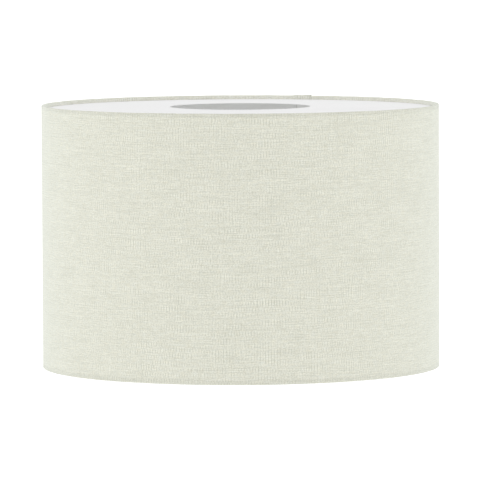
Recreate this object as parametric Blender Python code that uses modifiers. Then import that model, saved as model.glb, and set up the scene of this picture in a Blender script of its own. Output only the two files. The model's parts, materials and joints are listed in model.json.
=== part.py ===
"""Drum lamp shade: linen cloth on a white lining, rolled over two wire rings.

Frame: metres, +Z up, origin at the middle of the bottom rim, with the shade
standing as it hangs. A white ring-shaped panel lies just under the top rim.
A recessed fitter on three wire arms holds the lamp holder.
"""

from math import cos, pi, radians, sin

import bmesh
import bpy

# Driving sizes
RING_DIAMETER = 0.450  # outside of the two wire rings
DRUM_HEIGHT = 0.298  # rim to rim
RING_WIRE = 0.0028
CLOTH = 0.0004
LINING = 0.0005
GAP = 0.0003  # left between neighbouring pieces

# Rolled hems: the cloth goes over each ring and turns in under it
HEM_RADIUS = RING_WIRE / 2 + GAP + CLOTH
HEM_STEP = 30  # degrees a facet of the roll
HEM_END = 255  # degrees, where the cloth's cut edge lies under the ring
RING_RADIUS = RING_DIAMETER / 2 - RING_WIRE / 2
DRUM_RADIUS = RING_RADIUS + HEM_RADIUS

# Seam: one end of the cloth laps over the other
SEAM_ANGLE = 68.2  # degrees from +X, where the lap's free edge lies
LAP_TURN = 5.0  # degrees that the lap covers
LAP_EASE = 0.05  # degrees, keeps the lap's ends off the drum's facet edges
LAP_SINK = 0.0002  # how far the lap's strip is fused into the drum
LAP_START = 135  # degrees round the top roll, where the lap begins

# Lining strip
LINING_RADIUS = DRUM_RADIUS - CLOTH - GAP
LINING_INSET = 2 * HEM_RADIUS + 2 * GAP  # from each rim to the lining's edge
LINING_SLIT = 0.25  # degrees left open between the strip's two ends

# Panel under the top rim
PANEL_THICKNESS = 0.0003
PANEL_RADIUS = LINING_RADIUS - LINING - GAP
PANEL_HOLE_RADIUS = 0.0796
PANEL_CROWN = 0.0020  # how much the middle stands above the edge
PANEL_EDGE_Z = DRUM_HEIGHT - 2 * HEM_RADIUS - GAP
PANEL_BANDS = 4  # facets from the hole out to the edge

# Fitter: a pressed ring with a turned-down lip, on three arms
FITTER_DROP = 0.038  # below the top rim
FITTER_RADIUS = 0.031
FITTER_HOLE_RADIUS = 0.021
FITTER_SHOULDER = 0.0015  # radius of the bend into the lip
FITTER_LIP = 0.0050
FITTER_SHEET = 0.0012
FITTER_Z = DRUM_HEIGHT - FITTER_DROP
ARM_WIRE = 0.0028
ARM_ANGLES = (-90, 30, 150)
ARM_ROOT_Z = DRUM_HEIGHT - HEM_RADIUS - RING_WIRE / 2 - GAP - ARM_WIRE / 2
ARM_END_Z = FITTER_Z - FITTER_LIP / 2 - FITTER_SHOULDER / 2

DRUM_STEPS = 72
FITTER_STEPS = 48
WIRE_SIDES = 8


def clear_scene():
    """Remove what the file starts with."""
    for old in list(bpy.data.objects):
        bpy.data.objects.remove(old, do_unlink=True)


def new_collection(name):
    """A collection of the scene."""
    made = bpy.data.collections.new(name)
    bpy.context.scene.collection.children.link(made)
    return made


def finish(name, colour, roughness, metallic=0.0):
    """A plain Principled material."""
    made = bpy.data.materials.new(name)
    made.use_nodes = True
    shader = made.node_tree.nodes["Principled BSDF"]
    shader.inputs["Base Color"].default_value = (*colour, 1.0)
    shader.inputs["Roughness"].default_value = roughness
    shader.inputs["Metallic"].default_value = metallic
    return made


def outline_object(name, points, collection):
    """An object whose mesh is an open outline of (radius, height) points."""
    mesh = bpy.data.meshes.new(name)
    shape = bmesh.new()
    corners = [shape.verts.new((radius, 0.0, height)) for radius, height in points]
    for start, end in zip(corners, corners[1:]):
        shape.edges.new((start, end))
    shape.to_mesh(mesh)
    shape.free()
    made = bpy.data.objects.new(name, mesh)
    collection.objects.link(made)
    return made


def turn(made, steps, start=0.0, sweep=360.0):
    """Sweep an outline round Z, from the start angle, through the sweep."""
    screw = made.modifiers.new("Turn", "SCREW")
    screw.angle = radians(sweep)
    screw.steps = steps
    screw.render_steps = steps
    screw.use_merge_vertices = sweep == 360.0
    screw.merge_threshold = 0.00001
    screw.use_smooth_shade = True
    made.rotation_euler.z = radians(start)


def thicken(made, thickness):
    """Give an open surface its thickness, inwards."""
    shell = made.modifiers.new("Thickness", "SOLIDIFY")
    shell.thickness = thickness
    shell.offset = -1.0
    shell.use_even_offset = True


def roll(radius, centre_z, first, last):
    """Points round a ring's section, with flat facets at the given radius."""
    corner = radius / cos(radians(HEM_STEP / 2))
    count = round(abs(last - first) / HEM_STEP)
    step = (last - first) / count
    points = []
    for i in range(count + 1):
        angle = radians(first + i * step)
        points.append((RING_RADIUS + corner * cos(angle), centre_z + corner * sin(angle)))
    return points


def make_fabric_cover(parts, cutters, arm_cutters):
    """The cloth: drum wall, a roll over each ring, and the lapped seam."""
    top = roll(HEM_RADIUS, DRUM_HEIGHT - HEM_RADIUS, HEM_END, HEM_STEP / 2)
    bottom = roll(HEM_RADIUS, HEM_RADIUS, -HEM_STEP / 2, -HEM_END)
    cover = outline_object("fabric_cover", top + bottom, parts)
    turn(cover, DRUM_STEPS, SEAM_ANGLE)
    thicken(cover, CLOTH)

    lap_top = roll(HEM_RADIUS + CLOTH, DRUM_HEIGHT - HEM_RADIUS, LAP_START, HEM_STEP / 2)
    lap_foot = [(DRUM_RADIUS + CLOTH, HEM_RADIUS)]
    lap = outline_object("seam_lap", lap_top + lap_foot, cutters)
    turn(lap, 1, SEAM_ANGLE + LAP_EASE, LAP_TURN - 2 * LAP_EASE)
    thicken(lap, CLOTH + LAP_SINK)

    join = cover.modifiers.new("Lapped seam", "BOOLEAN")
    join.operation = "UNION"
    join.object = lap
    notch_for_arms(cover, arm_cutters)
    cover.data.materials.append(finish("linen", (0.72, 0.73, 0.63), 0.9))


def make_backing_liner(parts):
    """The white strip inside the cloth, its ends just apart at the seam."""
    outline = [(LINING_RADIUS, DRUM_HEIGHT - LINING_INSET), (LINING_RADIUS, LINING_INSET)]
    liner = outline_object("backing_liner", outline, parts)
    turn(liner, DRUM_STEPS, SEAM_ANGLE + (LAP_TURN + LINING_SLIT) / 2, 360.0 - LINING_SLIT)
    thicken(liner, LINING)
    liner.data.materials.append(finish("white_lining", (0.86, 0.86, 0.85), 0.5))


def make_wire_ring(name, centre_z, material):
    """A round wire ring inside a hem."""
    bpy.ops.mesh.primitive_torus_add(
        major_radius=RING_RADIUS,
        minor_radius=RING_WIRE / 2,
        major_segments=DRUM_STEPS,
        minor_segments=WIRE_SIDES,
        location=(0.0, 0.0, centre_z),
        rotation=(0.0, 0.0, radians(SEAM_ANGLE)),
    )
    ring = bpy.context.object
    ring.name = name
    ring.data.shade_smooth()
    ring.data.materials.append(material)
    return ring


def make_top_panel(parts, arm_cutters):
    """The ring-shaped panel, crowned a little towards its hole."""
    outline = []
    for i in range(PANEL_BANDS + 1):
        share = i / PANEL_BANDS
        radius = PANEL_HOLE_RADIUS + share * (PANEL_RADIUS - PANEL_HOLE_RADIUS)
        outline.append((radius, PANEL_EDGE_Z + PANEL_CROWN * cos(share * pi / 2)))
    panel = outline_object("top_panel", outline, parts)
    turn(panel, DRUM_STEPS, SEAM_ANGLE)
    thicken(panel, PANEL_THICKNESS)
    notch_for_arms(panel, arm_cutters)
    panel.data.materials.append(finish("white_panel", (0.86, 0.86, 0.86), 0.4))


def make_fitter_ring(parts, material):
    """The pressed ring that the lamp holder clamps."""
    bend_radius = FITTER_RADIUS - FITTER_SHOULDER
    outline = [(FITTER_HOLE_RADIUS, FITTER_Z)]
    for angle in (90, 60, 30, 0):
        bend_x = bend_radius + FITTER_SHOULDER * cos(radians(angle))
        bend_z = FITTER_Z - FITTER_SHOULDER + FITTER_SHOULDER * sin(radians(angle))
        outline.append((bend_x, bend_z))
    outline.append((FITTER_RADIUS, FITTER_Z - FITTER_LIP))
    fitter = outline_object("fitter_ring", outline, parts)
    turn(fitter, FITTER_STEPS)
    thicken(fitter, FITTER_SHEET)
    fitter.data.materials.append(material)


def arm_route(reach=0.0):
    """An arm's middle line as (radius, height): ring, bend, slope, fitter."""
    inner = FITTER_RADIUS + GAP
    return [
        (RING_RADIUS + GAP + reach, ARM_ROOT_Z),
        (RING_RADIUS - 0.0016, ARM_ROOT_Z - 0.0002),
        (RING_RADIUS - 0.0032, ARM_ROOT_Z - 0.0012),
        (RING_RADIUS - 0.0070, ARM_ROOT_Z - 0.0040),
        (RING_RADIUS - 0.0100, ARM_ROOT_Z - 0.0055),
        (inner + 0.0120, ARM_END_Z + 0.0020),
        (inner + 0.0070, ARM_END_Z + 0.0004),
        (inner, ARM_END_Z),
    ]


def wire_object(name, route, wire, angle, collection):
    """A bent wire with closed ends, turned to its angle, as one closed mesh."""
    curve = bpy.data.curves.new(name + "_line", "CURVE")
    curve.dimensions = "3D"
    curve.bevel_depth = wire / 2
    curve.bevel_resolution = 2
    curve.use_fill_caps = True
    line = curve.splines.new("POLY")
    line.points.add(len(route) - 1)
    for point, (radius, height) in zip(line.points, route):
        point.co = (radius, 0.0, height, 1.0)
    guide = bpy.data.objects.new(name + "_line", curve)
    bpy.context.scene.collection.objects.link(guide)
    guide.rotation_euler.z = radians(angle)
    bpy.context.view_layer.update()

    evaluated = guide.evaluated_get(bpy.context.evaluated_depsgraph_get())
    mesh = bpy.data.meshes.new_from_object(evaluated)
    mesh.name = name
    shape = bmesh.new()
    shape.from_mesh(mesh)
    bmesh.ops.remove_doubles(shape, verts=shape.verts, dist=0.00001)
    shape.to_mesh(mesh)
    shape.free()
    mesh.shade_smooth()
    mesh.set_sharp_from_angle(angle=radians(40))
    made = bpy.data.objects.new(name, mesh)
    made.matrix_world = guide.matrix_world.copy()
    collection.objects.link(made)
    bpy.data.objects.remove(guide, do_unlink=True)
    return made


def make_arms(parts, material):
    """Three wires from the top ring down to the fitter."""
    for number, angle in enumerate(ARM_ANGLES, start=1):
        arm = wire_object(f"fitter_arm_{number}", arm_route(), ARM_WIRE, angle, parts)
        arm.data.materials.clear()
        arm.data.materials.append(material)


def make_arm_cutters(collection):
    """Fatter arms, which leave the arms their room in the hem and the panel."""
    for number, angle in enumerate(ARM_ANGLES, start=1):
        route = arm_route(reach=GAP)
        cutter = wire_object(f"arm_room_{number}", route, ARM_WIRE + 2 * GAP, angle, collection)
        cutter.hide_render = True
        cutter.display_type = "WIRE"


def notch_for_arms(made, arm_cutters):
    """Cut the three notches that the arms pass through."""
    notch = made.modifiers.new("Arm notches", "BOOLEAN")
    notch.operation = "DIFFERENCE"
    notch.operand_type = "COLLECTION"
    notch.collection = arm_cutters


def main():
    """Build the whole shade."""
    clear_scene()
    parts = new_collection("drum_lamp_shade")
    cutters = new_collection("cutters")
    arm_cutters = bpy.data.collections.new("arm_cutters")
    cutters.children.link(arm_cutters)

    wire_white = finish("white_coated_wire", (0.80, 0.80, 0.79), 0.35)
    make_arm_cutters(arm_cutters)
    make_fabric_cover(parts, cutters, arm_cutters)
    make_backing_liner(parts)
    for name, centre_z in (("top_ring", DRUM_HEIGHT - HEM_RADIUS), ("bottom_ring", HEM_RADIUS)):
        ring = make_wire_ring(name, centre_z, wire_white)
        for home in list(ring.users_collection):
            home.objects.unlink(ring)
        parts.objects.link(ring)
    make_top_panel(parts, arm_cutters)
    make_arms(parts, wire_white)
    make_fitter_ring(parts, wire_white)
    for guide in cutters.objects:
        guide.hide_render = True
        guide.display_type = "WIRE"


main()
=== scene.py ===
"""Drum lamp shade: slubby off-white linen on a white lining, in soft studio light."""

import json
from math import cos, hypot, pi, radians, sin

import bpy
from mathutils import Matrix, Vector, noise

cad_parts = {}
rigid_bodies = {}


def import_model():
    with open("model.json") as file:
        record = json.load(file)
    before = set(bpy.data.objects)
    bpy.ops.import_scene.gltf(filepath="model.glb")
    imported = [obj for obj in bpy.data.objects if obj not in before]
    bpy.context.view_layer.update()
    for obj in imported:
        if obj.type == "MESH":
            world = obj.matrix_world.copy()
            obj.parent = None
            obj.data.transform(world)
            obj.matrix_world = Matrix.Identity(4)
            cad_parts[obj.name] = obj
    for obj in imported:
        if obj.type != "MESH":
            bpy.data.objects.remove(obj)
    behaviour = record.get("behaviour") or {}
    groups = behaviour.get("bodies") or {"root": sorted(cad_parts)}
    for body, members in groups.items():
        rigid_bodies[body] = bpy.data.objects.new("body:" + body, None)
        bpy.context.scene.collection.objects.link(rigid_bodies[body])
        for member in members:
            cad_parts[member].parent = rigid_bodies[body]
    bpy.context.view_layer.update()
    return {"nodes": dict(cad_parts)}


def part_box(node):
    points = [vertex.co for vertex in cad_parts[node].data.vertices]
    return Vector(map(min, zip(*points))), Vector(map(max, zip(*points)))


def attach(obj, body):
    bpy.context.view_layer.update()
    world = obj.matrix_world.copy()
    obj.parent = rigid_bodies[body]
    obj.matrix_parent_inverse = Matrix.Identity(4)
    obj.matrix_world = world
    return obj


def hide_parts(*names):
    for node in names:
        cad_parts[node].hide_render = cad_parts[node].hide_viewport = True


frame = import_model()

# ---------------------------------------------------------------- sizes
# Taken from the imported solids, in metres.
TOP_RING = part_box("top_ring")
BOTTOM_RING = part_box("bottom_ring")
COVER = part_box("fabric_cover")
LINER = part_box("backing_liner")
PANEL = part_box("top_panel")
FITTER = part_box("fitter_ring")
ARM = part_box("fitter_arm_1")  # runs along -Y

DRUM_RADIUS = COVER[1].x
HEM_WRAP = BOTTOM_RING[0].z  # ring wire to the outside of the cloth
WIRE_RADIUS = (TOP_RING[1].z - TOP_RING[0].z) / 2
HEM_RADIUS = WIRE_RADIUS + HEM_WRAP
RIM_HEIGHT = TOP_RING[1].z + HEM_WRAP
RING_RADIUS = DRUM_RADIUS - HEM_RADIUS
TOP_RING_Z = RIM_HEIGHT - HEM_RADIUS
BOTTOM_RING_Z = HEM_RADIUS

# Cloth: a flat strip, wrapped round the drum
CLOTH = 0.00045  # thickness
CLOTH_COLUMNS = 400
WALL_ROWS = 44
OUTWARDS = (1.0, 0.0)  # the way that the wall faces

# Its hems, from the foot on the panel to the end over the bottom ring
FOOT_GAP = 0.00006  # the top hem's inner foot stands this far over the panel's edge
FOOT_CORNER = 0.0002
FOOT_ROWS = 3
FOOT_TUCK = 0.0012  # from there the cloth goes this far under the ring
FOOT_RISE = 0.0001
TOP_HEM_ROWS = 7
HEM_CORNER = 0.0007  # the fold's outer corner, round the laminate's edge
CORNER_ROWS = 4
BOTTOM_HEM_ROWS = 18
HEM_TURN = radians(302)  # how far the cloth goes round the bottom ring

# Its lap: the strip's first stretch lies over its last one
SEAM_ANGLE = radians(68.2)  # where the lap's free edge lies
LAP_LENGTH = 0.0186
LAP_RISE = CLOTH + 0.00005  # the outer ply lies on the inner one
LAP_SETTLE = 0.005  # over this length the outer ply comes down on the drum
LAP_MARGIN = 0.001
FOLD_LENGTH = 0.009
FOLD_RISE = 0.00030  # the free edge is folded under, so it is thicker

# Its unevenness
LUMP = 0.00012
LUMPS_ROUND = 12.0  # waves to a radian or so
LUMPS_UP = 20.0  # to a metre
HEM_LUMP = 0.00013
HEM_LUMPS_ROUND = 17.0

# Lining film
FILM = 0.0004  # thickness
FILM_LAP = 0.009
FILM_STEP_IN = FILM * 1.15  # its last stretch lies this far inside its first
FILM_STEP = (0.006, 0.0005)  # the step in starts and ends this far before the film has gone round
FILM_LUMP = 0.00008
FILM_LUMPS_ROUND = 4.0
FILM_LUMPS_UP = 12.0
FILM_ROWS = 14
FILM_COLUMNS = 300
FILM_END_COLUMNS = 12  # the last ones, which are halved

# Panel
PANEL_SHEET = 0.0003
PANEL_EDGE_Z = PANEL[0].z + PANEL_SHEET
PANEL_BANDS = 24
PANEL_SIDES = 240
PANEL_EASE = 0.00008
PANEL_WAVE = 0.00015
PANEL_WAVES = 9.0  # to a metre
PANEL_FREE = (0.6, 0.96)  # shares of the radius between which the hem comes to hold it flat
HOLE_RADIUS = 0.0796
NOTCH_LENGTH = 0.005
NOTCH_ROOM = 0.0004
NOTCH_REACH = 0.004
NOTCH_DROP = 0.0003
MERGE = 0.00002

# Fitter
FITTER_HOLE = 0.021
FITTER_BEND = 0.0015
FITTER_SHEET = 0.0012
FITTER_EASE = 0.0003
FITTER_SIDES = 120
FITTER_BANDS = 5
FITTER_BEND_ROWS = 8

# Arms and welds
ARM_ANGLES = (radians(-90), radians(30), radians(150))
ARM_RADIUS = 0.0014
ARM_BEND = 0.005
ARM_SWEEP = 0.025
ARM_LEAD = 0.002
ARM_TAIL = 0.005
ARM_STEEP = radians(36.4)
ARM_SHALLOW = radians(10.1)
ARM_SIDES = 20
ARM_BEND_ROWS = 8
WELD_SIZE = (0.0011, 0.0023, 0.0019)
WELD_GAP = 0.0004  # its middle to the fitter's lip
WELD_LUMP = 0.22
WELD_LUMPS = 1.6
WELD_LAYER = Vector((3.1, 0.0, 0.0))

# ---------------------------------------------------------------- looks
# Weave: its yarns, and how much each part of the pattern counts in the linen's tone
WARP_PITCH = 0.00158  # upright yarns
WEFT_PITCH = 0.00128  # level yarns
WARP_DRIFT = 0.0034  # yarns run thick and thin, so their spacing wanders
WEFT_DRIFT = 0.0030
DRIFT_SCALE = 130.0
DRIFT_STRETCH = 0.1
WARP_SHARE = 0.38
WEFT_SHARE = 0.56
SLUB_SHARE = 0.52
WARP_PAIR_SHARE = 1.00
WEFT_PAIR_SHARE = 0.55
KNOT_SHARE = 0.18
GRAIN_SHARE = 0.95
CLOUD_SHARE = 0.21
# Painted shade: the linen's colour is darker in the gaps between yarns and lighter on their tops
RELIEF_PAINTED_SHADE = 0.7
RELIEF_MIDDLE = 0.62
SHADE_IN_RELIEF = 0.5
# How fast each part changes along the strip and across it, in changes to a metre or to a yarn
GRAIN_SCALES = (820.0, 740.0)
WARP_SCALES = (12.7, 90.0)
WEFT_SCALES = (26.0, 12.7)
SLUB_SCALES = (130.0, 9.1)
WARP_PAIR_SCALES = (20.0, 150.0)
WEFT_PAIR_SCALES = (55.0, 60.0)
WARM_SCALES = (150.0, 420.0)
CLOUD_SCALE = 38.0

# Linen
LINEN_DARK = (0.534, 0.544, 0.470, 1.0)
LINEN_LIGHT = (0.787, 0.798, 0.722, 1.0)
WARM_TINT = (1.03, 1.0, 0.945, 1.0)
WARM_SHARE = 0.9
# Painted shade: the cloth's colour is darkened where it is doubled and lets no light through
HEM_PAINTED_SHADE = 0.93  # where the cloth is doubled
CREASE_PAINTED_SHADE = 0.84  # along the lap's free edge
# Painted light: the cloth turned in under the rim is made lighter, in place of light bounced up off the
# panel
TURNED_IN_PAINTED_LIGHT = (1.15, 1.14, 1.18, 1.0)
LINEN_RELIEF = 0.00014
LINEN_SPECULAR = 0.2
LINEN_SHEEN = 0.48
SHEEN_ROUGHNESS = 0.5
SHEEN_TINT = (0.93, 1.0, 0.97, 1.0)
# Where each of these starts and ends, in metres from its place on the flat cloth
RIM_FADE = (-0.001, 0.001)
TOP_HEM_FADE = (-0.0018, 0.0014)
BOTTOM_HEM_FADE = (-0.0026, 0.0004)
LAP_FADE = (-0.0012, 0.0012)
CREASE_FADE = (0.0002, 0.0014)
CREASE_TOP_FADE = (0.0, 0.003)
TURNED_IN_FADE = (-0.006, -0.002)

# Lining film
FILM_DARK = (0.82, 0.825, 0.81, 1.0)
FILM_LIGHT = (0.90, 0.905, 0.895, 1.0)
FILM_WEAVE_SCALE = 420.0
FILM_WEAVE_STRETCH = 0.2
FILM_WEAVE_SHARE = 0.35  # of each set of yarns
FILM_CLOUD_SCALE = 14.0
FILM_CLOUD_SHARE = 0.3
FILM_RELIEF = 0.0001
FILM_LAP_SHADE = 1.035
FILM_LAP_FADE = (-0.0006, 0.0006)
FILM_CUT_PAINTED_SHADE = (0.80, 0.80, 0.79, 1.0)
FILM_CUT_FADE = (-0.0014, -0.0004)

# Panel sheet, powder coat and floor
SHEET_DARK = 0.800
SHEET_LIGHT = 0.840
SHEET_CLOUD_SHARE = 0.7
SHEET_GRAIN_SHARE = 0.3
SHEET_GRAIN_SCALE = 900.0
SHEET_CLOUD_SCALE = 9.0
SHEET_ROUGHNESS = (0.12, 0.42)  # spread and least
SHEET_RELIEF = 0.00004
COAT_DARK = (0.74, 0.74, 0.725, 1.0)
COAT_LIGHT = (0.81, 0.81, 0.80, 1.0)
COAT_PEEL_SCALE = 1400.0
COAT_CLOUD_SCALE = 60.0
COAT_ROUGHNESS = (0.2, 0.28)  # spread and least
COAT_RELIEF = 0.00006
FLOOR_SIZE = 60.0
FLOOR_PLACE = (0.0, 10.0, -0.0002)
FLOOR_GLOW = 0.95

# Soft lights: name, place and power
SOFTBOXES = (
    ("softbox_left", Vector((-2.5, -0.2, 0.5)), 6.0),
    ("softbox_right", Vector((2.5, -0.2, 0.5)), 3.4),
)
SOFTBOX_SIZE = 1.2

# Camera: lengths in drum diameters, but for the side step in metres
CAMERA_FOCAL = 10.9277  # in sensor widths
CAMERA_DISTANCE = 13.191
CAMERA_RISE = 0.6176  # over the rim
CAMERA_SIDE = -0.0008
CAMERA_PITCH = 0.07268
CAMERA_ROLL = -0.0042
SENSOR_WIDTH = 36.0


# ---------------------------------------------------------------- helpers
def smooth_step(low, high, value):
    """0 below low, 1 above high, and a smooth turn between."""
    share = min(1.0, max(0.0, (value - low) / (high - low)))
    return share * share * (3.0 - 2.0 * share)


def grey(tone):
    """A colour with the same tone in all its channels."""
    return (tone, tone, tone, 1.0)


def deselect_all():
    """Nothing is selected after this."""
    for other in bpy.context.scene.objects:
        other.select_set(False)


def pick(piece):
    """Make the piece the one that the operators act on."""
    deselect_all()
    bpy.context.view_layer.objects.active = piece
    piece.select_set(True)


def name_new(name):
    """Name the primitive just added, and its mesh."""
    made = bpy.context.object
    made.name = name
    made.data.name = name
    return made


def copy_of(piece, name):
    """A copy of the piece with a mesh of its own."""
    made = piece.copy()
    made.data = piece.data.copy()
    made.name = name
    made.data.name = name
    bpy.context.scene.collection.objects.link(made)
    return made


def apply_modifier(piece, modifier):
    """Apply the modifier to the piece's mesh."""
    pick(piece)
    bpy.ops.object.modifier_apply(modifier=modifier.name)


def thicken(piece, thickness, offset, even=False):
    """Give an open surface its wall; offset 1 grows it along its normals, -1 against them."""
    shell = piece.modifiers.new("Thickness", "SOLIDIFY")
    shell.thickness = thickness
    shell.offset = offset
    shell.use_even_offset = even
    apply_modifier(piece, shell)


def ease_edges(piece, width, segments):
    """Round the piece's sharp edges."""
    ease = piece.modifiers.new("Eased edges", "BEVEL")
    ease.width = width
    ease.segments = segments
    ease.limit_method = "ANGLE"
    ease.angle_limit = radians(50)
    apply_modifier(piece, ease)


def settle(piece):
    """Put the piece's place into its mesh, so its object is at the origin."""
    pick(piece)
    bpy.ops.object.transform_apply(location=True, rotation=True, scale=True)


def turn_into_place(piece, angle):
    """Turn a piece made along +X to its angle round the shade."""
    piece.rotation_euler.z = angle
    settle(piece)


def smooth(piece, angle):
    """Shade smooth, but keep edges sharper than the angle in degrees."""
    pick(piece)
    bpy.ops.object.shade_smooth_by_angle(angle=radians(angle))


def add_piece(piece, material, slot, *nodes):
    """Give a finished piece its material and body, and hide the nodes it stands for; slot is not used."""
    piece.data.materials.clear()
    piece.data.materials.append(material)
    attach(piece, "root")
    if nodes:
        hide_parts(*nodes)


# ---------------------------------------------------------------- materials
class Recipe:
    """A material's node tree, with short ways to add what it needs."""

    def __init__(self, name, colour, roughness):
        self.material = bpy.data.materials.new(name)
        self.material.use_nodes = True
        self.tree = self.material.node_tree
        self.shader = self.tree.nodes["Principled BSDF"]
        self.shader.inputs["Base Color"].default_value = (*colour, 1.0)
        self.shader.inputs["Roughness"].default_value = roughness

    def feed(self, socket, value):
        """Link a socket to a node's output, or set it to a number or colour."""
        if isinstance(value, bpy.types.NodeSocket):
            self.tree.links.new(value, socket)
        else:
            socket.default_value = value

    def math(self, operation, first, second=0.0, third=0.0):
        """The result of a sum on numbers or sockets."""
        made = self.tree.nodes.new("ShaderNodeMath")
        made.operation = operation
        for socket, value in zip(made.inputs, (first, second, third)):
            self.feed(socket, value)
        return made.outputs[0]

    def coordinate(self, kind):
        """The piece's UV or Object coordinates."""
        return self.tree.nodes.new("ShaderNodeTexCoord").outputs[kind]

    def flat_place(self):
        """The X and Y, in metres, of a point of the flat sheet."""
        made = self.tree.nodes.new("ShaderNodeSeparateXYZ")
        self.feed(made.inputs[0], self.coordinate("UV"))
        return made.outputs[0], made.outputs[1]

    def vector(self, x, y, z=0.0):
        """A vector from three numbers or sockets."""
        made = self.tree.nodes.new("ShaderNodeCombineXYZ")
        for socket, value in zip(made.inputs, (x, y, z)):
            self.feed(socket, value)
        return made.outputs[0]

    def noise(self, vector, scale=1.0, detail=2.0, roughness=0.5):
        """Cloudy noise from 0 to 1."""
        made = self.tree.nodes.new("ShaderNodeTexNoise")
        self.feed(made.inputs["Vector"], vector)
        made.inputs["Scale"].default_value = scale
        made.inputs["Detail"].default_value = detail
        made.inputs["Roughness"].default_value = roughness
        return made.outputs["Fac"]

    def streaks(self, x, y, scales, layer, detail=2.0, roughness=0.5):
        """Noise with a scale of its own along X and Y; each use has its own layer of it."""
        x = self.math("MULTIPLY", x, scales[0])
        y = self.math("MULTIPLY", y, scales[1])
        return self.noise(self.vector(x, y, layer), 1.0, detail, roughness)

    def blend(self, share, first, second, way="MIX"):
        """A colour between two colours."""
        made = self.tree.nodes.new("ShaderNodeMix")
        made.data_type = "RGBA"
        made.blend_type = way
        self.feed(made.inputs[0], share)
        self.feed(made.inputs[6], first)
        self.feed(made.inputs[7], second)
        return made.outputs[2]

    def tint_where(self, share, colour, tint):
        """The colour, times the tint where the share is 1."""
        return self.blend(share, colour, tint, "MULTIPLY")

    def past(self, value, place, fade):
        """0 before the place and 1 past it; fade is the turn's start and end from there."""
        made = self.tree.nodes.new("ShaderNodeMapRange")
        made.interpolation_type = "SMOOTHSTEP"
        self.feed(made.inputs["Value"], value)
        made.inputs["From Min"].default_value = place + fade[0]
        made.inputs["From Max"].default_value = place + fade[1]
        return made.outputs[0]

    def before(self, value, place, fade):
        """1 before the place and 0 past it."""
        return self.math("SUBTRACT", 1.0, self.past(value, place, fade))

    def bump(self, height, distance, strength):
        """Relief of the given depth in metres."""
        made = self.tree.nodes.new("ShaderNodeBump")
        made.inputs["Strength"].default_value = strength
        made.inputs["Distance"].default_value = distance
        self.feed(made.inputs["Height"], height)
        self.feed(self.shader.inputs["Normal"], made.outputs[0])


def yarn_numbers(made, x, y):
    """How many yarns lie before a point, across the warp and along it."""
    warp_way = made.vector(x, made.math("MULTIPLY", y, DRIFT_STRETCH))
    weft_way = made.vector(made.math("MULTIPLY", x, DRIFT_STRETCH), y, 7.0)
    warp_noise = made.noise(warp_way, DRIFT_SCALE)
    weft_noise = made.noise(weft_way, DRIFT_SCALE)
    warp_drift = made.math("MULTIPLY_ADD", warp_noise, WARP_DRIFT, -WARP_DRIFT / 2)
    weft_drift = made.math("MULTIPLY_ADD", weft_noise, WEFT_DRIFT, -WEFT_DRIFT / 2)
    across = made.math("DIVIDE", made.math("ADD", x, warp_drift), WARP_PITCH)
    along = made.math("DIVIDE", made.math("ADD", y, weft_drift), WEFT_PITCH)
    return across, along


def lifted(made, own, other, offset, number):
    """One set of yarns' height: round, and up and down over the other set; number is each yarn's own."""
    round_top = made.math("ABSOLUTE", made.math("SINE", made.math("MULTIPLY", own, pi)))
    phase = made.math("ADD", made.math("ADD", other, offset), number)
    phase = made.math("MULTIPLY", phase, pi)
    lift = made.math("MULTIPLY_ADD", made.math("COSINE", phase), 0.5, 0.5)
    return made.math("MULTIPLY", round_top, lift)


def paired(made, number, prouder):
    """Yarns lie in pairs, now one of a pair prouder, now the other."""
    pair = made.math("COSINE", made.math("MULTIPLY", number, pi))
    return made.math("MULTIPLY", pair, made.math("SUBTRACT", prouder, 0.5))


def weave(made, x, y):
    """Plain weave from flat cloth metres: its relief, and a list of (tone, middle, share)."""
    across, along = yarn_numbers(made, x, y)
    warp_number = made.math("FLOOR", across)
    weft_number = made.math("FLOOR", along)

    # Over and under: each set of yarns is high where it lies on top.
    warp_height = lifted(made, across, along, -0.5, warp_number)
    weft_height = lifted(made, along, across, 0.5, weft_number)
    relief = made.math("MAXIMUM", warp_height, weft_height)

    # Each yarn is lighter or darker by stretches of its length.
    warp = made.streaks(warp_number, y, WARP_SCALES, 0.0, roughness=0.6)
    weft = made.streaks(x, weft_number, WEFT_SCALES, 5.0, detail=1.0, roughness=0.6)
    slub = made.streaks(x, weft_number, SLUB_SCALES, 15.0, detail=1.0, roughness=0.6)
    warp_pair = paired(made, across, made.streaks(x, y, WARP_PAIR_SCALES, 2.0, detail=0.0))
    weft_pair = paired(made, along, made.streaks(x, y, WEFT_PAIR_SCALES, 8.0, detail=0.0))
    grain = made.streaks(x, y, GRAIN_SCALES, 21.0, detail=0.0)
    knot = made.tree.nodes.new("ShaderNodeTexWhiteNoise")
    knot.noise_dimensions = "2D"
    made.feed(knot.inputs["Vector"], made.vector(warp_number, weft_number))
    tones = [
        (grain, 0.5, GRAIN_SHARE),
        (warp, 0.5, WARP_SHARE),
        (weft, 0.5, WEFT_SHARE),
        (slub, 0.5, SLUB_SHARE),
        (warp_pair, 0.0, WARP_PAIR_SHARE),
        (weft_pair, 0.0, WEFT_PAIR_SHARE),
        (knot.outputs["Value"], 0.5, KNOT_SHARE),
        (relief, RELIEF_MIDDLE, RELIEF_PAINTED_SHADE),
    ]
    return relief, tones


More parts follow.
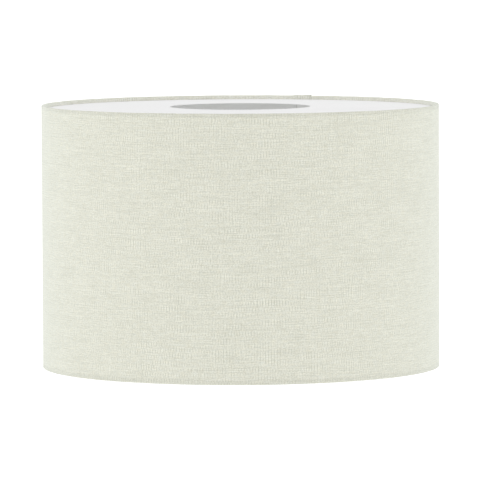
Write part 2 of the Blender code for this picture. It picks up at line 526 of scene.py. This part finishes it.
def linen_material(hems):
    """Slubby plain-weave linen on the cloth's own UV; hems are its flat places, as hem_places gives."""
    made = Recipe("slubby_linen", (0.67, 0.67, 0.58), 0.85)
    x, y = made.flat_place()
    relief, tones = weave(made, x, y)
    cloud = made.noise(made.vector(x, y, 3.0), CLOUD_SCALE, detail=4.0, roughness=0.6)
    shade = 0.5
    for part, middle, share in tones + [(cloud, 0.5, CLOUD_SHARE)]:
        shade = made.math("MULTIPLY_ADD", made.math("SUBTRACT", part, middle), share, shade)
    cloth = made.blend(shade, LINEN_DARK, LINEN_LIGHT)

    # Some stretches of yarn are a touch warmer.
    warm = made.math("MULTIPLY_ADD", made.streaks(x, y, WARM_SCALES, 11.0), 2.0, -0.5)
    cloth = made.tint_where(made.math("MULTIPLY", warm, WARM_SHARE), cloth, WARM_TINT)

    # Painted shade: over the ring wires and at the lap the cloth is doubled and no light comes through
    # it, so its colour is darkened there.
    rim, top, bottom = hems
    in_hem = made.math("SUBTRACT", made.past(y, rim, RIM_FADE), made.past(y, top, TOP_HEM_FADE))
    in_hem = made.math("ADD", in_hem, made.past(y, bottom, BOTTOM_HEM_FADE))
    painted_doubled_shade = made.math("MAXIMUM", in_hem, made.before(x, LAP_LENGTH, LAP_FADE))
    cloth = made.tint_where(painted_doubled_shade, cloth, grey(HEM_PAINTED_SHADE))

    # Painted shade along the lap's creased free edge, and painted light on the cloth turned in under the
    # rim, which is made lighter.
    painted_crease_shade = made.before(x, 0.0, CREASE_FADE)
    painted_crease_shade = made.math("MULTIPLY", painted_crease_shade, made.past(y, rim, CREASE_TOP_FADE))
    cloth = made.tint_where(painted_crease_shade, cloth, grey(CREASE_PAINTED_SHADE))
    # Painted light on the turned-in cloth under the rim.
    cloth = made.tint_where(made.before(y, rim, TURNED_IN_FADE), cloth, TURNED_IN_PAINTED_LIGHT)
    made.feed(made.shader.inputs["Base Color"], cloth)
    height = made.math("ADD", relief, made.math("MULTIPLY", shade, SHADE_IN_RELIEF))
    made.bump(height, LINEN_RELIEF, 0.6)
    made.shader.inputs["Specular IOR Level"].default_value = LINEN_SPECULAR
    made.shader.inputs["Sheen Weight"].default_value = LINEN_SHEEN
    made.shader.inputs["Sheen Roughness"].default_value = SHEEN_ROUGHNESS
    made.shader.inputs["Sheen Tint"].default_value = SHEEN_TINT
    return made.material


def film_material():
    """White lining film, with the weave glued behind it just showing."""
    made = Recipe("lining_film", (0.84, 0.845, 0.83), 0.45)
    x, y = made.flat_place()
    level_way = made.vector(made.math("MULTIPLY", x, FILM_WEAVE_STRETCH), y)
    upright_way = made.vector(x, made.math("MULTIPLY", y, FILM_WEAVE_STRETCH), 4.0)
    level = made.math("MULTIPLY", made.noise(level_way, FILM_WEAVE_SCALE), FILM_WEAVE_SHARE)
    upright = made.math("MULTIPLY", made.noise(upright_way, FILM_WEAVE_SCALE), FILM_WEAVE_SHARE)
    cloud = made.noise(made.vector(x, y, 9.0), FILM_CLOUD_SCALE, detail=3.0)
    cloud = made.math("MULTIPLY", cloud, FILM_CLOUD_SHARE)
    tone = made.math("ADD", made.math("ADD", level, upright), cloud)
    film = made.blend(tone, FILM_DARK, FILM_LIGHT)

    # The lap is whiter, being doubled, and its cut edge shows as a line of painted shade.
    end = film_length()
    film = made.tint_where(made.past(x, end - FILM_LAP, FILM_LAP_FADE), film, grey(FILM_LAP_SHADE))
    film = made.tint_where(made.past(x, end, FILM_CUT_FADE), film, FILM_CUT_PAINTED_SHADE)
    made.feed(made.shader.inputs["Base Color"], film)
    made.bump(tone, FILM_RELIEF, 0.4)
    return made.material


def panel_material():
    """Matt white plastic sheet with a fine grain and faint clouds."""
    made = Recipe("panel_sheet", (0.80, 0.80, 0.80), 0.5)
    place = made.coordinate("Object")
    grain = made.noise(place, SHEET_GRAIN_SCALE)
    cloud = made.noise(place, SHEET_CLOUD_SCALE, detail=3.0)
    grain_part = made.math("MULTIPLY", grain, SHEET_GRAIN_SHARE)
    tone = made.math("MULTIPLY_ADD", cloud, SHEET_CLOUD_SHARE, grain_part)
    colour = made.blend(tone, grey(SHEET_DARK), grey(SHEET_LIGHT))
    made.feed(made.shader.inputs["Base Color"], colour)
    made.feed(made.shader.inputs["Roughness"], made.math("MULTIPLY_ADD", grain, *SHEET_ROUGHNESS))
    made.bump(grain, SHEET_RELIEF, 0.5)
    return made.material


def coated_wire_material():
    """White powder coat: a fine orange-peel skin."""
    made = Recipe("white_powder_coat", (0.78, 0.78, 0.77), 0.4)
    place = made.coordinate("Object")
    peel = made.noise(place, COAT_PEEL_SCALE)
    colour = made.blend(made.noise(place, COAT_CLOUD_SCALE), COAT_DARK, COAT_LIGHT)
    made.feed(made.shader.inputs["Base Color"], colour)
    made.feed(made.shader.inputs["Roughness"], made.math("MULTIPLY_ADD", peel, *COAT_ROUGHNESS))
    made.bump(peel, COAT_RELIEF, 0.5)
    return made.material


def floor_material():
    """A pale light table: white, and lit from below."""
    made = Recipe("pale_floor", (0.20, 0.20, 0.20), 0.9)
    made.shader.inputs["Emission Color"].default_value = (1.0, 1.0, 1.0, 1.0)
    made.shader.inputs["Emission Strength"].default_value = FLOOR_GLOW
    return made.material


# ---------------------------------------------------------------- cloth and lining
def arc_rows(centre, reach, first, last, steps):
    """Rows round a (radius, height) centre: (radius, height, outward direction) at each even step."""
    rows = []
    for i in range(steps + 1):
        angle = first + (last - first) * i / steps
        way = (cos(angle), sin(angle))
        rows.append((centre[0] + reach * way[0], centre[1] + reach * way[1], way))
    return rows


def foot_rows():
    """The top hem's inner foot: tucked under the ring, round a corner, and straight up from the panel."""
    inner = RING_RADIUS - HEM_RADIUS
    corner = (inner + FOOT_CORNER, PANEL_EDGE_Z + FOOT_GAP + FOOT_CORNER)
    rows = arc_rows(corner, FOOT_CORNER, 1.5 * pi, pi, FOOT_ROWS)
    end = (rows[0][0] + FOOT_TUCK, rows[0][1] + FOOT_RISE, (0.0, -1.0))
    middle = (inner, (TOP_RING_Z + corner[1]) / 2.0, (-1.0, 0.0))
    return [end] + rows + [middle]


def cloth_profile():
    """Rows across the cloth, from the tucked end at the top to the one at the bottom.

    Each is (flat distance, radius, height, outward direction).
    """
    corner = DRUM_RADIUS - HEM_CORNER
    high, low = RIM_HEIGHT - HEM_CORNER, HEM_CORNER
    top, bottom = (RING_RADIUS, TOP_RING_Z), (RING_RADIUS, BOTTOM_RING_Z)
    path = foot_rows()
    path += arc_rows(top, HEM_RADIUS, pi, pi / 2.0, TOP_HEM_ROWS)
    path += arc_rows((corner, high), HEM_CORNER, pi / 2.0, 0.0, CORNER_ROWS)
    for i in range(1, WALL_ROWS):
        path.append((DRUM_RADIUS, high - (high - low) * i / WALL_ROWS, OUTWARDS))
    path += arc_rows((corner, low), HEM_CORNER, 0.0, -pi / 2.0, CORNER_ROWS)
    path += arc_rows(bottom, HEM_RADIUS, -pi / 2.0, -HEM_TURN, BOTTOM_HEM_ROWS)
    rows = []
    flat = 0.0
    last = path[0]
    for radius, height, way in path:
        flat += hypot(radius - last[0], height - last[1])
        last = (radius, height)
        rows.append((flat, radius, height, way))
    return rows


def hem_places():
    """Flat places across the cloth: the rim, the top hem's lower edge, the bottom hem's upper edge."""
    wall = [flat for flat, _, _, way in cloth_profile() if way == OUTWARDS]
    hem_height = 2.0 * HEM_RADIUS - HEM_CORNER
    return wall[0] - HEM_CORNER * pi / 2.0, wall[0] + hem_height, wall[-1] - hem_height


def lap_offset(distance):
    """How far the strip stands off the drum, by distance from its free edge."""
    settled = smooth_step(LAP_LENGTH + LAP_MARGIN, LAP_LENGTH + LAP_SETTLE, distance)
    unfolded = smooth_step(FOLD_LENGTH * 0.7, FOLD_LENGTH * 1.3, distance)
    return LAP_RISE * (1.0 - settled) + FOLD_RISE * (1.0 - unfolded)


def cloth_columns():
    """Distances along the strip, closer together at its free edge, its fold and where its lap ends."""
    columns = [0.0, 0.0004, 0.001, 0.002, 0.004, 0.006]
    columns += [0.0075 + 0.0015 * i for i in range(4)]
    columns += [0.015, 0.018]
    columns += [0.0195 + 0.001 * i for i in range(8)]
    columns.append(0.028)
    start = columns[-1]
    length = 2.0 * pi * DRUM_RADIUS + LAP_LENGTH
    return columns + [start + (length - start) * i / CLOTH_COLUMNS for i in range(1, CLOTH_COLUMNS + 1)]


def make_strip(name, columns, rows, place):
    """A grid with each corner moved to its place, and its flat position as its UV."""
    deselect_all()
    bpy.ops.mesh.primitive_grid_add(
        x_subdivisions=len(columns) - 1, y_subdivisions=len(rows) - 1, size=2.0
    )
    strip = name_new(name)
    mesh = strip.data
    flat = []
    for vertex in mesh.vertices:
        column = columns[round((vertex.co.x + 1.0) / 2.0 * (len(columns) - 1))]
        row = rows[round((vertex.co.y + 1.0) / 2.0 * (len(rows) - 1))]
        flat.append((column, row[0]))
        vertex.co = place(column, row)
    layer = mesh.uv_layers.active.data
    for loop in mesh.loops:
        layer[loop.index].uv = flat[loop.vertex_index]
    mesh.update()
    return strip


def place_cloth(distance, row):
    """Where a point of the cloth lies on the shade."""
    _, radius, height, way = row
    turn = SEAM_ANGLE + distance / DRUM_RADIUS
    around = Vector((cos(turn), sin(turn), 0.0))
    lift = lap_offset(distance)
    lift += LUMP * noise.noise(around * LUMPS_ROUND + Vector((0.0, 0.0, height * LUMPS_UP)))
    if way != OUTWARDS:
        lift += HEM_LUMP * noise.noise(around * HEM_LUMPS_ROUND + Vector((way[0], 3.0, way[1])))
    if way[1] < 0.0 and height > RIM_HEIGHT / 2.0:
        lift *= 1.0 + way[1]  # the top hem's foot is held by the panel
    radius += lift * way[0]
    height = max(0.0, height + lift * way[1])
    return Vector((radius * cos(turn), radius * sin(turn), height))


def make_cloth(material):
    """The linen: a flat strip wrapped round the drum and rolled over both rings."""
    columns = cloth_columns()
    rows = cloth_profile()
    cloth = make_strip("linen_cover", columns, rows, place_cloth)
    thicken(cloth, CLOTH, 1.0)
    smooth(cloth, 50)
    add_piece(cloth, material, "linen", "fabric_cover")


def film_length():
    """Round the inside of the drum once, and the lap."""
    return 2.0 * pi * LINER[1].x + FILM_LAP


def place_film(distance, row):
    """Where a point of the lining lies: its last stretch laps inside its first."""
    _, height = row
    start = SEAM_ANGLE + LAP_LENGTH / DRUM_RADIUS / 2.0
    turn = start + distance / LINER[1].x
    once_round = 2.0 * pi * LINER[1].x
    stepped_in = smooth_step(once_round - FILM_STEP[0], once_round - FILM_STEP[1], distance)
    around = Vector((cos(turn), sin(turn), 0.0))
    lump = noise.noise(around * FILM_LUMPS_ROUND + Vector((0.0, 0.0, height * FILM_LUMPS_UP)))
    radius = LINER[1].x - FILM_STEP_IN * stepped_in + FILM_LUMP * lump
    return Vector((radius * cos(turn), radius * sin(turn), height))


def make_lining(material):
    """The white film that the cloth is glued to."""
    length = film_length()
    low, high = LINER[0].z, LINER[1].z
    columns = [length * i / FILM_COLUMNS for i in range(FILM_COLUMNS - FILM_END_COLUMNS)]
    tail = columns[-1]
    halves = 2 * FILM_END_COLUMNS
    columns += [tail + (length - tail) * i / halves for i in range(1, halves + 1)]
    heights = [high - (high - low) * i / FILM_ROWS for i in range(FILM_ROWS + 1)]
    rows = [(height - low, height) for height in heights]
    lining = make_strip("lining", columns, rows, place_film)
    thicken(lining, FILM, 1.0)
    smooth(lining, 40)
    add_piece(lining, material, "white_lining", "backing_liner")


# ---------------------------------------------------------------- panel and fitter
def new_ring(name, radius, sides, place, turn=(0.0, 0.0, 0.0)):
    """An open circle of edges to extrude from."""
    deselect_all()
    bpy.ops.mesh.primitive_circle_add(vertices=sides, radius=radius, location=place, rotation=turn)
    ring = name_new(name)
    settle(ring)
    return ring


def open_edit(piece):
    """Edit the piece with all of it selected."""
    pick(piece)
    bpy.ops.object.mode_set(mode="EDIT")
    bpy.ops.mesh.select_mode(type="EDGE")
    bpy.ops.mesh.select_all(action="SELECT")


def close_edit():
    """Back to object mode with every face pointing outwards."""
    bpy.ops.mesh.select_all(action="SELECT")
    bpy.ops.mesh.normals_make_consistent(inside=False)
    bpy.ops.object.mode_set(mode="OBJECT")


def draw_out(name, outline, sides):
    """A round sheet, extruded ring by ring through (radius, height) points."""
    radius, height = outline[0]
    piece = new_ring(name, radius, sides, (0.0, 0.0, height))
    open_edit(piece)
    for (radius, height), (next_radius, next_height) in zip(outline, outline[1:]):
        rise = (0.0, 0.0, next_height - height)
        bpy.ops.mesh.extrude_edges_move(TRANSFORM_OT_translate={"value": rise})
        share = next_radius / radius
        bpy.ops.transform.resize(value=(share, share, 1.0), center_override=(0.0, 0.0, 0.0))
    close_edit()
    return piece


def cut_notch(panel, angle):
    """Cut the notch that an arm passes through, in the panel's edge."""
    deselect_all()
    edge = PANEL[1].x
    bpy.ops.mesh.primitive_cylinder_add(
        vertices=32,
        radius=1.0,
        depth=2.0,
        location=(edge * cos(angle), edge * sin(angle), PANEL_EDGE_Z - NOTCH_DROP),
        rotation=(0.0, 0.0, angle),
    )
    cutter = bpy.context.object
    cutter.scale = (NOTCH_LENGTH, ARM_RADIUS + NOTCH_ROOM, NOTCH_REACH)
    notch = panel.modifiers.new("Notch", "BOOLEAN")
    notch.operation = "DIFFERENCE"
    notch.object = cutter
    apply_modifier(panel, notch)
    bpy.data.objects.remove(cutter, do_unlink=True)


def make_panel(material):
    """The pierced panel: thin sheet, a little crowned, its hole's edge eased, notched for the arms."""
    edge = PANEL[1].x
    crown = PANEL[1].z - PANEL_EDGE_Z
    outline = []
    for i in range(PANEL_BANDS + 1):
        share = i / PANEL_BANDS
        radius = HOLE_RADIUS + share * (edge - HOLE_RADIUS)
        outline.append((radius, PANEL_EDGE_Z + crown * cos(share * pi / 2.0)))
    panel = draw_out("panel", outline, PANEL_SIDES)
    thicken(panel, PANEL_SHEET, -1.0)
    ease_edges(panel, PANEL_EASE, 2)
    for angle in ARM_ANGLES:
        cut_notch(panel, angle)
    open_edit(panel)
    bpy.ops.mesh.remove_doubles(threshold=MERGE)
    close_edit()

    for vertex in panel.data.vertices:
        place = vertex.co
        free = 1.0 - smooth_step(*PANEL_FREE, hypot(place.x, place.y) / edge)
        wave = noise.noise(Vector((place.x, place.y, 1.7)) * PANEL_WAVES)
        vertex.co.z += PANEL_WAVE * free * wave
    smooth(panel, 35)
    add_piece(panel, material, "white_panel", "top_panel")


def make_fitter(material):
    """The pressed fitter ring: flat top, rounded shoulder, turned-down lip with a soft edge."""
    low, high = FITTER
    shoulder = (high.x - FITTER_BEND, high.z - FITTER_BEND)
    flat = shoulder[0] - FITTER_HOLE
    outline = [(FITTER_HOLE + flat * i / FITTER_BANDS, high.z) for i in range(FITTER_BANDS + 1)]
    for radius, height, _ in arc_rows(shoulder, FITTER_BEND, pi / 2.0, 0.0, FITTER_BEND_ROWS)[1:]:
        outline.append((radius, height))
    outline.append((high.x, (shoulder[1] + low.z) / 2.0))
    outline.append((high.x, low.z))
    fitter = draw_out("fitter_plate", outline, FITTER_SIDES)
    thicken(fitter, FITTER_SHEET, -1.0, even=True)
    ease_edges(fitter, FITTER_EASE, 3)
    smooth(fitter, 35)
    add_piece(fitter, material, "coated_wire", "fitter_ring")


# ---------------------------------------------------------------- arms
def arm_steps(start, end):
    """Straights and bends that take an arm from the ring to the fitter: (length, turn, radius)."""
    steep, shallow = ARM_STEEP, ARM_SHALLOW
    drop = start.z - end.z - ARM_BEND * (1.0 - cos(steep))
    drop -= ARM_BEND * (cos(shallow) - cos(steep)) + ARM_SWEEP * (1.0 - cos(shallow))
    run = start.x - end.x - ARM_LEAD - ARM_TAIL
    run -= ARM_BEND * (2.0 * sin(steep) - sin(shallow)) + ARM_SWEEP * sin(shallow)
    scale = sin(steep) * cos(shallow) - sin(shallow) * cos(steep)
    first = (drop * cos(shallow) - run * sin(shallow)) / scale
    second = (run * sin(steep) - drop * cos(steep)) / scale
    return [
        (ARM_LEAD, 0.0, 0.0),
        (0.0, steep, ARM_BEND),
        (first, 0.0, 0.0),
        (0.0, shallow - steep, ARM_BEND),
        (second, 0.0, 0.0),
        (0.0, -shallow, ARM_SWEEP),
        (ARM_TAIL, 0.0, 0.0),
    ]


def bend_wire(name, start, steps):
    """A round wire that starts towards -X and is bent in the upright plane."""
    wire = new_ring(name, ARM_RADIUS, ARM_SIDES, start, (0.0, pi / 2.0, 0.0))
    open_edit(wire)
    place = Vector(start)
    heading = 0.0
    for length, turn, radius in steps:
        if length:
            move = Vector((-cos(heading), 0.0, -sin(heading))) * length
            bpy.ops.mesh.extrude_edges_move(TRANSFORM_OT_translate={"value": move})
            place += move
        if turn:
            way = 1.0 if turn > 0.0 else -1.0  # downwards or upwards
            centre = place + Vector((sin(heading), 0.0, -cos(heading))) * radius * way
            bpy.ops.mesh.spin(steps=ARM_BEND_ROWS, angle=abs(turn), center=centre, axis=(0.0, way, 0.0))
            heading += turn
            place = centre - Vector((sin(heading), 0.0, -cos(heading))) * radius * way
    bpy.ops.mesh.edge_face_add()
    bpy.ops.mesh.select_all(action="DESELECT")
    bpy.ops.mesh.select_non_manifold()
    bpy.ops.mesh.edge_face_add()
    close_edit()
    return wire


def make_bead(name, radius, height):
    """A small lumpy weld bead on the fitter's lip."""
    deselect_all()
    bpy.ops.mesh.primitive_ico_sphere_add(subdivisions=4, radius=1.0, location=(radius, 0.0, height))
    bead = name_new(name)
    bead.scale = WELD_SIZE
    for vertex in bead.data.vertices:
        vertex.co *= 1.0 + WELD_LUMP * noise.noise(vertex.co * WELD_LUMPS + WELD_LAYER)
    settle(bead)
    return bead


def make_arms(material):
    """One wire and its weld bead on the fitter, and copies of both for the other two arms."""
    low, high = ARM
    start = Vector((-low.y, 0.0, high.z - ARM_RADIUS))
    end = Vector((-high.y, 0.0, low.z + ARM_RADIUS))
    arms = [bend_wire("arm_wire_1", start, arm_steps(start, end))]
    beads = [make_bead("fitter_weld_1", FITTER[1].x + WELD_GAP, end.z)]
    for number in range(2, len(ARM_ANGLES) + 1):
        arms.append(copy_of(arms[0], f"arm_wire_{number}"))
        beads.append(copy_of(beads[0], f"fitter_weld_{number}"))
    for number, (angle, arm, bead) in enumerate(zip(ARM_ANGLES, arms, beads), start=1):
        turn_into_place(arm, angle)
        smooth(arm, 40)
        add_piece(arm, material, "coated_wire", f"fitter_arm_{number}")
        turn_into_place(bead, angle)
        smooth(bead, 60)
        add_piece(bead, material, "coated_wire")


# ---------------------------------------------------------------- stage
def make_stage():
    """A pale floor, white surroundings and two soft side lights."""
    deselect_all()
    bpy.ops.mesh.primitive_plane_add(size=FLOOR_SIZE, location=FLOOR_PLACE)
    floor = name_new("floor")
    floor.data.materials.append(floor_material())

    world = bpy.data.worlds.new("white_surroundings")
    bpy.context.scene.world = world
    world.use_nodes = True
    background = world.node_tree.nodes["Background"]
    background.inputs["Color"].default_value = grey(1.0)
    background.inputs["Strength"].default_value = 1.0

    middle = Vector((0.0, 0.0, RIM_HEIGHT / 2))
    for name, place, power in SOFTBOXES:
        light = bpy.data.lights.new(name, "AREA")
        light.energy = power
        light.size = SOFTBOX_SIZE
        lamp = bpy.data.objects.new(name, light)
        lamp.location = place
        lamp.rotation_euler = (middle - place).to_track_quat("-Z", "Y").to_euler()
        bpy.context.scene.collection.objects.link(lamp)


def make_camera():
    """A long lens, a little above the shade's rim and looking slightly down."""
    drum = 2.0 * DRUM_RADIUS
    camera = bpy.data.cameras.new("camera")
    camera.sensor_width = SENSOR_WIDTH
    camera.lens = SENSOR_WIDTH * CAMERA_FOCAL
    camera.clip_end = 100.0
    eye = bpy.data.objects.new("camera", camera)
    bpy.context.scene.collection.objects.link(eye)
    eye.location = (CAMERA_SIDE, -CAMERA_DISTANCE * drum, RIM_HEIGHT + CAMERA_RISE * drum)
    level = Matrix.Rotation(pi / 2.0 - CAMERA_PITCH, 4, "X")
    eye.rotation_euler = (level @ Matrix.Rotation(CAMERA_ROLL, 4, "Z")).to_euler()
    bpy.context.scene.camera = eye


# ---------------------------------------------------------------- build
powder_coat = coated_wire_material()
make_cloth(linen_material(hem_places()))
make_lining(film_material())
make_panel(panel_material())
make_fitter(powder_coat)
make_arms(powder_coat)
for node in ("top_ring", "bottom_ring"):
    frame["nodes"][node].data.materials.clear()
    frame["nodes"][node].data.materials.append(powder_coat)

make_stage()
make_camera()
bpy.context.scene.view_settings.view_transform = "Standard"
bpy.context.scene.view_settings.look = "None"
